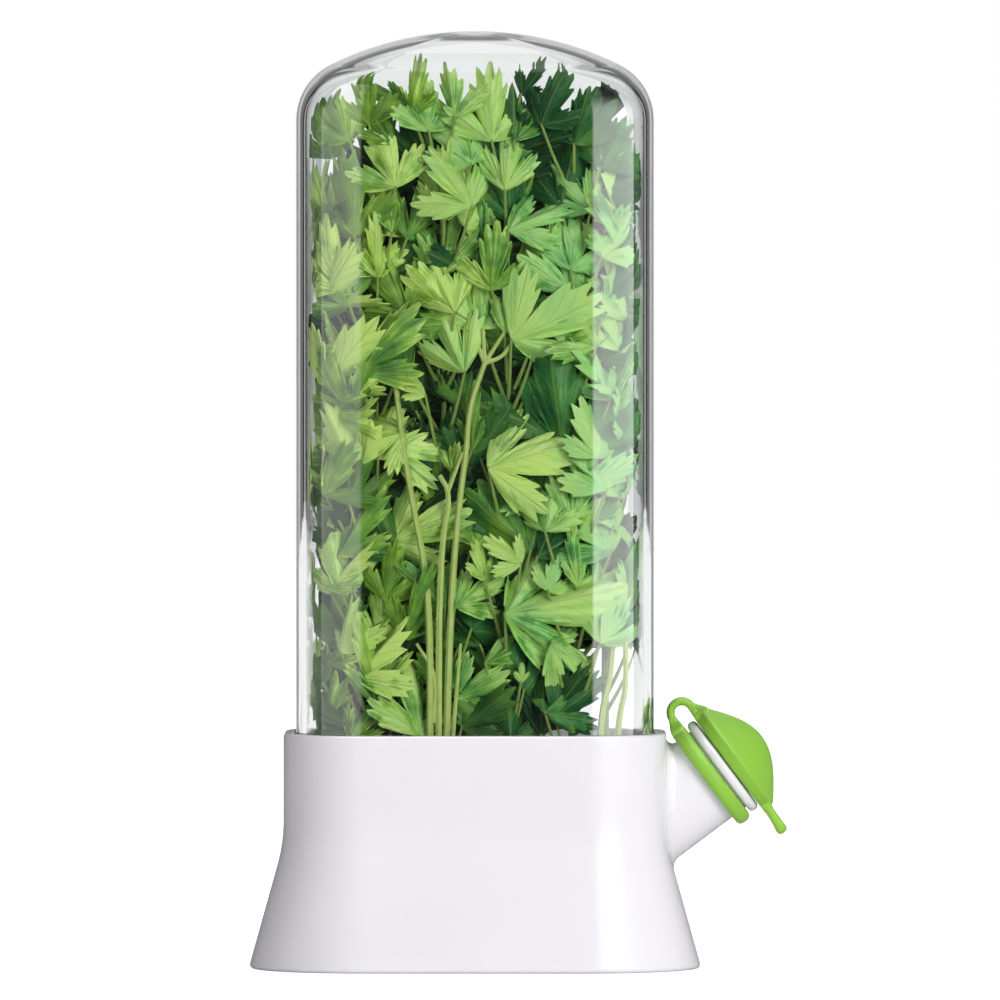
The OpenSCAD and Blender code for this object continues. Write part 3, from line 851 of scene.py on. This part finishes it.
def leaf_edge(kind, dice, teeth):
    """The leaf's edge, as direction, distance, how far round its lobe and the lobe's length."""
    lobes = [(c + dice.uniform(-3, 3), long * dice.uniform(0.92, 1.06), half)
             for c, long, half in KINDS[kind]]
    edge = []
    for n, (centre, long, half) in enumerate(lobes):
        sides = []
        for way in (-1, 1):
            other = n + way
            if 0 <= other < len(lobes):
                room = abs(lobes[other][0] - centre)
                limit = room * half / (half + lobes[other][2])
            else:
                limit = half
            sides.append([(centre + way * s * limit, long
                           * max(1 - (s * limit / half) ** 2, 0.02) ** 0.36
                           * f * dice.uniform(0.975, 1.025),
                           s, long) for s, f in teeth])
        left, right = sides
        edge += left[:0:-1] if n == 0 else left[-2:0:-1]
        edge += right
    return edge


# Where a leaf has to stay: how far from the rim's plan, and the dome's foot and top inside
ROOM_R, DOME_Z, INSIDE_TOP = 17.6, 254, 279.5


def press_in(p, room):
    """A leaf that reaches the clear cover lies against it: keeps a point inside the wall."""
    share = 1.0
    if p.z > DOME_Z:
        up = min((p.z - DOME_Z) / (INSIDE_TOP - DOME_Z), 1.0)
        share = math.sqrt(max(1 - up ** 2.6, 0.02))
    x, y = p.x / share, p.y / share
    qx, qy = max(abs(x) - FLAT_W, 0), max(abs(y) - FLAT_D, 0)
    d = math.hypot(qx, qy)
    limit = ROOM_R - room
    if d > limit:
        qx, qy = qx * limit / d, qy * limit / d
        x = math.copysign(min(abs(x), FLAT_W) + qx, x)
        y = math.copysign(min(abs(y), FLAT_D) + qy, y)
    return Vector((x * share, y * share, min(p.z, INSIDE_TOP - room)))


class Sprig:
    """One sprig while it is made: its leaves' faces, and the runs of its stems and stalks."""

    def __init__(self, name, seed, lit=True):
        # A sprig that is not lit stands in the middle; build gives its stalks painted shade
        self.name, self.dice, self.lit = name, random.Random(seed), lit
        self.verts, self.faces, self.veins = [], [], []
        self.tones, self.hues, self.edges = [], [], []
        self.stems, self.stalks = [], []

    def leaf(self, foot, turn, size, tone, kind="broad", facing=0.0, detail=PLAIN, flat=1.0):
        """Adds a leaf: place of its foot in mm, direction in degrees clockwise from up,
        length, tone, kind, and the way that it faces, in degrees round the keeper."""
        dice, (teeth, rows) = self.dice, detail
        fold, curl = dice.uniform(0.05, 0.45) * flat, dice.uniform(0.1, 0.5) * flat
        pitch, roll = dice.uniform(-22, 30) * flat, dice.uniform(-38, 38) * flat
        lobe_fold, phase = dice.uniform(0.14, 0.34), dice.uniform(0, 6)
        ripple, room = dice.uniform(0.03, 0.08), dice.uniform(0.2, 1.8)
        hue = 0.45 + (tone - 0.5) * 0.7 - foot[0] / 90 + dice.uniform(-0.3, 0.3)
        pose = (Matrix.Rotation(math.radians(facing), 4, "Z")
                @ Matrix.Rotation(math.radians(90), 4, "X")
                @ Matrix.Rotation(math.radians(-turn), 4, "Z")
                @ Matrix.Rotation(math.radians(pitch), 4, "X")
                @ Matrix.Rotation(math.radians(roll), 4, "Y"))
        first, edge = len(self.verts), leaf_edge(kind, dice, teeth)
        for angle, reach, s, long in edge:
            a = math.radians(angle)
            for t in rows:
                r = reach * t
                bend = (-fold * abs(math.sin(a)) * r - curl * r * r
                        - lobe_fold * s * r * (1 - 0.4 * t)
                        + ripple * math.sin(5 * a + phase + 4 * t) * t)
                p = Vector((r * math.sin(a), r * math.cos(a), bend)) * size
                self.verts.append(press_in(Vector(foot) + pose @ p, room) * MM)
                self.tones.append(tone)
                self.hues.append(min(max(hue, 0), 1))
                self.edges.append(t)
                self.veins.append((s, r / long))
        for i in range(len(edge) - 1):
            for j in range(len(rows) - 1):
                a = first + i * len(rows) + j
                self.faces.append((a, a + 1, a + len(rows) + 1, a + len(rows)))

    def sweep(self, runs, tone, stalk):
        """A mesh of round stems through their points in mm, each thick at its foot."""
        line = bpy.data.curves.new(self.name + "_stems", "CURVE")
        line.dimensions = "3D"
        line.bevel_depth = MM
        line.bevel_resolution = 1
        line.use_fill_caps = True
        line.resolution_u = 4
        for points, thick, thin in runs:
            spline = line.splines.new("BEZIER")
            spline.bezier_points.add(len(points) - 1)
            for n, (point, co) in enumerate(zip(spline.bezier_points, points)):
                point.co = Vector(co) * MM
                point.handle_left_type = point.handle_right_type = "AUTO"
                point.radius = thick + (thin - thick) * n / (len(points) - 1)
        only(placed(self.name + "_stems", line))
        bpy.ops.object.convert(target="MESH")
        stems = bpy.context.object
        for key, value in (("tone", tone), ("hue", 0.5), ("stalk", stalk), ("edge", 0.0)):
            attribute = stems.data.attributes.new(key, "FLOAT", "POINT")
            attribute.data.foreach_set("value", [value] * len(stems.data.vertices))
        return stems

    def build(self):
        """Makes the sprig's mesh from its leaves, walled, and its stems, swept."""
        start()
        blades = new_mesh(self.name, self.verts, self.faces)
        mesh = blades.data
        layer = mesh.uv_layers.new(name="leaf_place")
        for loop in mesh.loops:
            layer.data[loop.index].uv = self.veins[loop.vertex_index]
        for key, values in (("tone", self.tones), ("hue", self.hues), ("edge", self.edges)):
            mesh.attributes.new(key, "FLOAT", "POINT").data.foreach_set("value", values)
        mesh.attributes.new("stalk", "FLOAT", "POINT")
        edit_all()
        bpy.ops.mesh.remove_doubles(threshold=1e-7)
        bpy.ops.object.mode_set(mode="OBJECT")
        modify(blades, "SOLIDIFY", thickness=0.3 * MM, offset=0)
        # Painted shade: the stalks of a sprig that is not lit, in the middle, get a dark tone and
        # none of the stalks' paler green
        free_of_painted_shade = 1 if self.lit else 0
        parts = [self.sweep(self.stems, 0.85, 1.0),
                 self.sweep(self.stalks, 0.12 + 0.28 * free_of_painted_shade, 0.3 * free_of_painted_shade)]
        return smooth(joined(self.name, blades, *parts), 48)


def parsley_leaf():
    """Leaf green by the leaf's tone, which for some leaves holds painted shade, with pale veins up
    the lobes and out to the teeth, blotches, a rim that is partly paler and partly a painted
    highlight, and a waxy shine; stalks are a paler yellow green."""
    material, nodes = new_material("parsley_leaf")
    m = nodes.maths
    where = nodes.split(nodes("UVMap", uv_map="leaf_place").outputs["UV"])
    s, v = where["X"], where["Y"]       # how far from the lobe's middle, and how far up it
    tone, stalk, edge, own_hue = (nodes("Attribute", attribute_name=name).outputs["Fac"]
                                  for name in ("tone", "stalk", "edge", "hue"))
    place = nodes("TexCoord").outputs["Object"]
    blotch, patch = nodes.noise(place, 230, 4), nodes.noise(place, 75, 2)
    fan = nodes("CombineXYZ", {0: m("MULTIPLY", s, 9.0), 1: m("MULTIPLY", v, 1.5),
                               2: m("MULTIPLY", tone, 61.0)}).outputs[0]
    streak = nodes.noise(fan, 1, 3)

    def swing(noise, share):
        """Noise about zero."""
        return m("MULTIPLY", m("SUBTRACT", noise, 0.5), share)
    # Tone of the blade: the leaf's tone, with its painted shade where it has some, moved by
    # blotches, patches and streaks up its lobes, and lifted at the rim, which is partly the leaf's
    # own paler edge and partly a painted highlight
    wander = m("ADD", m("ADD", swing(blotch, 0.7), swing(patch, 1.1)), swing(streak, 0.9))
    pale_rim_and_highlight = m("MULTIPLY", m("POWER", edge, 12.0), 0.2)
    wander = m("ADD", m("ADD", wander, 1.0), pale_rim_and_highlight)
    shade = m("MULTIPLY", m("POWER", m("MULTIPLY", tone, wander), 1.2), 1.5, clamp=True)
    # A blue green and a yellow green, mixed by the leaf's own hue and a slow drift
    greens = [nodes.ramp(shade, zip((0, 0.3, 0.6, 0.82, 1), colours)) for colours in (
        ((0.004, 0.016, 0.008), (0.014, 0.10, 0.028), (0.04, 0.24, 0.05), (0.11, 0.42, 0.085),
         (0.31, 0.71, 0.22)),
        ((0.006, 0.018, 0.005), (0.05, 0.14, 0.015), (0.16, 0.33, 0.025), (0.32, 0.56, 0.05),
         (0.62, 0.86, 0.19)))]
    hue = m("ADD", own_hue, swing(patch, 1.6), clamp=True)
    # Veins: the middle of each lobe, and side veins that lean towards the teeth
    middle = nodes.span(m("MULTIPLY", s, m("ADD", v, 0.25)), (1.0, 0.0), (0.0, 0.055), True)
    phase = m("FRACT", m("MULTIPLY", m("SUBTRACT", v, m("MULTIPLY", s, 0.55)), 4.6))
    ribs = nodes.span(m("ABSOLUTE", m("SUBTRACT", phase, 0.5)), (0.55, 0.0), (0.0, 0.09), True)
    vein = m("MAXIMUM", middle, ribs)
    vein_green = nodes.ramp(tone, ((0, (0.03, 0.1, 0.015)), (1, (0.5, 0.66, 0.16))))
    veined = nodes.mix(m("MULTIPLY", vein, 0.7), nodes.mix(hue, *greens), vein_green)
    stem_green = nodes.mix(blotch, (0.38, 0.53, 0.10), (0.62, 0.72, 0.24))
    # The veins are sunk and the blade between them is puffed
    height = m("SUBTRACT", m("MULTIPLY", blotch, 0.5), m("MULTIPLY", vein, 0.6))
    height = m("ADD", height, m("MULTIPLY", streak, 0.9))
    nodes.finish(nodes("BsdfPrincipled", {
        "Base Color": nodes.mix(stalk, veined, stem_green),
        "IOR": 1.42,
        "Specular IOR Level": m("ADD", m("MULTIPLY", tone, 0.6), 0.14),
        "Roughness": nodes.span(blotch, (0.26, 0.5)),
        "Normal": nodes.bump(height, 0.7, 0.4 * MM)}))
    return material


# The leaves of the front, as seen: place of the foot across and up, direction, length, tone, kind,
# and how far in front of the sprig's stem they are. Each tone is how light the leaf looks, so it is
# partly the leaf's own green and partly painted light and shade
FRONT = (
    (-14, 254, 0, 15, .7, "broad", 9), (-20, 262, -65, 13, .35, "long", 6),
    (-38, 251, -25, 14, .5, "broad", 7), (-25, 250, -30, 15, .45, "long", 8),
    (-24, 237, -20, 17, .7, "broad", 12), (-10, 236, -15, 28, .25, "kite", 5),
    (-1, 244, -25, 17, .85, "broad", 12), (-1, 231, -30, 18, .8, "broad", 14),
    (-25, 223, -10, 18, .7, "narrow", 10), (5, 251, 0, 18, .8, "broad", 10),
    (9, 236, 5, 21, .85, "long", 13), (14, 265, 40, 11, .2, "long", 5),
    (12, 251, 35, 20, .5, "narrow", 9), (11, 248, 75, 15, .15, "broad", 4),
    (26, 231, 12, 35, .3, "broad", 7), (10, 224, 60, 19, .75, "long", 14),
    (-20, 198, -40, 18, .5, "broad", 9), (-6, 199, -25, 22, .75, "long", 12),
    (-3, 196, -45, 19, .6, "broad", 9), (-3, 181, -30, 17, .95, "kite", 14),
    (-15, 174, -55, 9, .9, "long", 13), (2, 194, -3, 20, .65, "broad", 11),
    (5, 206, 5, 16, .6, "broad", 13), (9, 193, 20, 16, .7, "long", 12),
    (11, 191, 65, 26, .9, "broad", 14), (29, 212, 15, 15, .8, "broad", 12),
    (19, 207, 15, 19, .75, "narrow", 10), (17, 207, 82, 18, .1, "narrow", 5),
    (18, 187, 75, 13, .5, "broad", 8),
    (4, 152, 70, 24, .85, "broad", 14), (27, 157, -5, 30, .4, "fan", 9),
    (32, 147, 0, 16, .8, "narrow", 12), (17, 127, -45, 24, .45, "fan", 10),
    (21, 133, 10, 13, .8, "broad", 13), (19, 125, 60, 24, .4, "long", 11),
    (29, 136, 30, 14, .7, "broad", 12), (14, 123, -50, 11, .85, "broad", 13),
    (3, 118, -10, 11, .7, "long", 12), (-21, 163, -100, 14, .75, "broad", 12),
    (-23, 125, -20, 17, .35, "broad", 8), (-27, 112, 10, 14, .5, "broad", 9),
    (-7, 151, -10, 16, .65, "narrow", 11), (-1, 157, 0, 17, .5, "narrow", 9),
    (-6, 110, 55, 17, .7, "long", 13), (-1, 103, 45, 30, .3, "broad", 9),
    (9, 108, 75, 30, .8, "broad", 14), (22, 115, 25, 9, .9, "broad", 14),
    (31, 116, 0, 14, .7, "narrow", 11), (3, 93, 70, 22, .6, "narrow", 12),
    (23, 99, 115, 14, .75, "broad", 13), (9, 71, 0, 22, .35, "broad", 8),
    (14, 87, 5, 5, .8, "long", 10), (20, 71, 5, 25, .15, "long", 7),
    (21, 78, 45, 16, .5, "broad", 12), (24, 77, 60, 17, .3, "broad", 9),
    (-9, 110, -50, 15, .5, "broad", 11), (-14, 109, -110, 18, .1, "long", 6),
    (-23, 119, -100, 12, .3, "broad", 8), (-30, 80, -5, 23, .55, "narrow", 11),
    (-17, 71, 0, 20, .7, "broad", 12), (-32, 256, -10, 13, .45, "broad", 8),
    (-6, 258, -12, 14, .75, "broad", 10), (20, 256, 20, 14, .3, "broad", 8),
    (30, 250, 15, 15, .3, "broad", 7), (38, 243, 25, 15, .4, "broad", 8),
    (-43, 246, -15, 14, .4, "broad", 6), (-19, 259, 5, 13, .55, "long", 7),
)
# The stems that show in front, as places across and up, from the foot
FRONT_STEMS = {
    2: (((-10, 16), (-8.5, 72), (-7, 112), (-5.8, 130), (-4.3, 144.5), (-2.7, 157), (-1.2, 171),
         (3, 184)),
        ((-13.7, 60), (-13.7, 99), (-14.9, 119), (-18.9, 142), (-21.6, 158), (-24.7, 184)),
        ((-11, 70), (-10.4, 119), (-9.4, 133), (-8.2, 145), (-10.7, 150)),
        ((-8.2, 145), (-3.7, 157)), ((-12.5, 75), (-12.5, 90), (-17.7, 99))),
    3: (((3, 184), (0.5, 190), (-2.1, 194.5)), ((3, 184), (2.4, 194.5)),
        ((3, 184), (6.5, 189.5), (9.1, 193.5)), ((3, 184), (8, 186), (11.6, 191)),
        ((-7, 66), (-5.8, 81), (-4.3, 99))),
    4: (((38, 16), (38, 70), (39, 80), (41, 90), (42, 116)),
        ((43, 70), (44, 78), (45.5, 86), (44, 114))),
}
STEM_Y, STEM_FOOT = 17.65, 16.0     # how far in front or behind, and the basket's floor
ABREAST, DEEPEST = 20, 11           # from stem to stem, and how far out leaves are strewn
FRONT_TIER, FILL_TIER = 14, 13      # from one tier of strewn leaves up to the next


def row_stem(sprig, x, y, top):
    """The sprig's main stem, from the basket's floor up, a little bowed."""
    bow = sprig.dice.uniform(-2.5, 2.5)
    sprig.stalks.append(([(x, y, STEM_FOOT), (x + bow * 0.4, y, 70),
                          (x + bow, y, 70 + (top - 70) * 0.5), (x, y, top)], 1.5, 0.7))


def stalk(sprig, foot, stem_x, stem_y):
    """A thin stalk from the sprig's stem up and out to a leaf's foot."""
    x, y, z = foot
    reach = abs(x - stem_x) + abs(y - stem_y)
    low = max(z - 6 - reach * 0.9, 40)
    sprig.stalks.append(([(stem_x, stem_y, low), (stem_x + (x - stem_x) * 0.55,
                          stem_y + (y - stem_y) * 0.7, low + (z - low) * 0.5),
                          (x, y, z + 0.6)], 0.7, 0.4))


def front_sprig(number):
    """One of the four sprigs in front: the leaves seen, and more between and behind them."""
    sprig = Sprig("parsley_%02d" % number, 40 + number)
    dice = sprig.dice
    stem_x = (number - 2.5) * ABREAST
    lowest, highest = 102 if number == 4 else 70, 238 if number in (1, 4) else 248
    longer = 1.28           # how much longer a leaf is made than the table says
    row_stem(sprig, stem_x, -STEM_Y, highest)
    for x, z, turn, size, tone, kind, out in FRONT:
        column = 1 if x < -20 else 2 if x < 0 else 3 if x < 20 else 4
        if column == number:
            foot = (x, -STEM_Y - out, z)
            sprig.leaf(foot, turn, size * longer, tone, kind, detail=FINE, flat=0.8)
            stalk(sprig, foot, stem_x, -STEM_Y)
    z = lowest
    while z < highest:
        for side in (-1, 0.1, 1):
            # Behind the two long stems the leaves stay back, and as a leaf's tone grows with how
            # far out it is, those further in are painted darker: painted shade
            out = dice.uniform(0, 6 if number in (2, 3) and 95 < z < 190 else DEEPEST)
            foot = (stem_x + side * dice.uniform(4, 10), -STEM_Y - out, z + dice.uniform(-4, 4))
            # Painted shade: low down, between the walls of the base, the leaves' tone is turned
            # down
            light = min(1, (z - 50) / 45)
            sprig.leaf(foot, side * dice.uniform(10, 75), dice.uniform(19, 28),
                       ((out / DEEPEST) ** 1.5 * 0.62 + dice.uniform(0.04, 0.36)) * light,
                       dice.choice(("broad", "broad", "long", "fan")))
            stalk(sprig, foot, stem_x, -STEM_Y)
        if number in (1, 4):
            # The corner of the cover beside this sprig. Its leaves get high tones, higher on the
            # right than on the left: painted light for the lit side and the cover's pale gloss at
            # its corners
            way = -1 if number == 1 else 1
            for share in (0.25, 0.75):
                a = math.radians(90 * (share + dice.uniform(-0.2, 0.2)))
                reach = dice.uniform(11, 15)
                foot = (way * (33 + reach * math.sin(a)), -16 - reach * math.cos(a),
                        z + dice.uniform(-6, 6))
                sprig.leaf(foot, dice.uniform(-50, 50), dice.uniform(19, 27),
                           dice.uniform(0.48, 1.0) + 0.1 * way,
                           dice.choice(("broad", "fan", "long")),
                           facing=way * math.degrees(a) * 0.8)
                stalk(sprig, foot, stem_x, -STEM_Y)
        z += FRONT_TIER
    out = 3 if number == 4 else 12
    for points in FRONT_STEMS.get(number, ()):
        thick, thin = (1.15, 0.8) if len(points) > 3 else (0.8, 0.5)
        sprig.stems.append(([(x, -STEM_Y - (out if z > 30 else 0), z) for x, z in points],
                            thick, thin))
    return sprig.build()


def filled_sprig(number, x, y, facing, low, high, tones, spread=9):
    """A sprig of the back, the ends or the middle, with leaves all the way up."""
    # The sprigs from 11 on, in the middle, are not lit: their stalks get painted shade
    sprig = Sprig("parsley_%02d" % number, 40 + number, number < 11)
    dice = sprig.dice
    row_stem(sprig, x, y, high)
    turn = math.radians(facing)
    across = Vector((math.cos(turn), math.sin(turn)))
    out = Vector((math.sin(turn), -math.cos(turn)))
    z = low
    while z < high:
        for side in (-1, 0, 1):
            away = side * dice.uniform(3, spread)
            step = dice.uniform(2, 12)
            foot = (x + across.x * away + out.x * step, y + across.y * away + out.y * step,
                    z + dice.uniform(-5, 5))
            sprig.leaf(foot, side * dice.uniform(15, 75) + dice.uniform(-15, 15),
                       dice.uniform(19, 28), dice.uniform(*tones),
                       dice.choice(("broad", "broad", "long", "kite", "fan")), facing,
                       PLAIN if sprig.lit else FAR)
            stalk(sprig, foot, x, y)
        z += FILL_TIER
    return sprig.build()


leaf_green = parsley_leaf()
sprigs = [front_sprig(number) for number in (1, 2, 3, 4)]
for number in (5, 6, 7, 8):
    column = 6.5 - number
    sprigs.append(filled_sprig(number, column * ABREAST, STEM_Y, 180,
                               102 if number == 5 else 70,
                               236 if number in (5, 8) else 248, (0.1, 0.9)))
for number, side in ((9, -1), (10, 1)):
    sprigs.append(filled_sprig(number, side * 40, 0, side * 90, 102 if side > 0 else 70, 236,
                               (0.15, 0.95)))
# The middle sprigs: their leaves get tones near nought, painted shade for the dark inside of the
# bunch
for number in (11, 12, 13):
    sprigs.append(filled_sprig(number, (number - 12) * ABREAST, 0, 180 * (number % 2),
                               100 if number == 13 else 72, 250, (0.0, 0.12), spread=12))
for number, sprig in enumerate(sprigs, 1):
    dress(sprig, leaf_green, "base")
    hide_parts("sprig_%02d" % number)
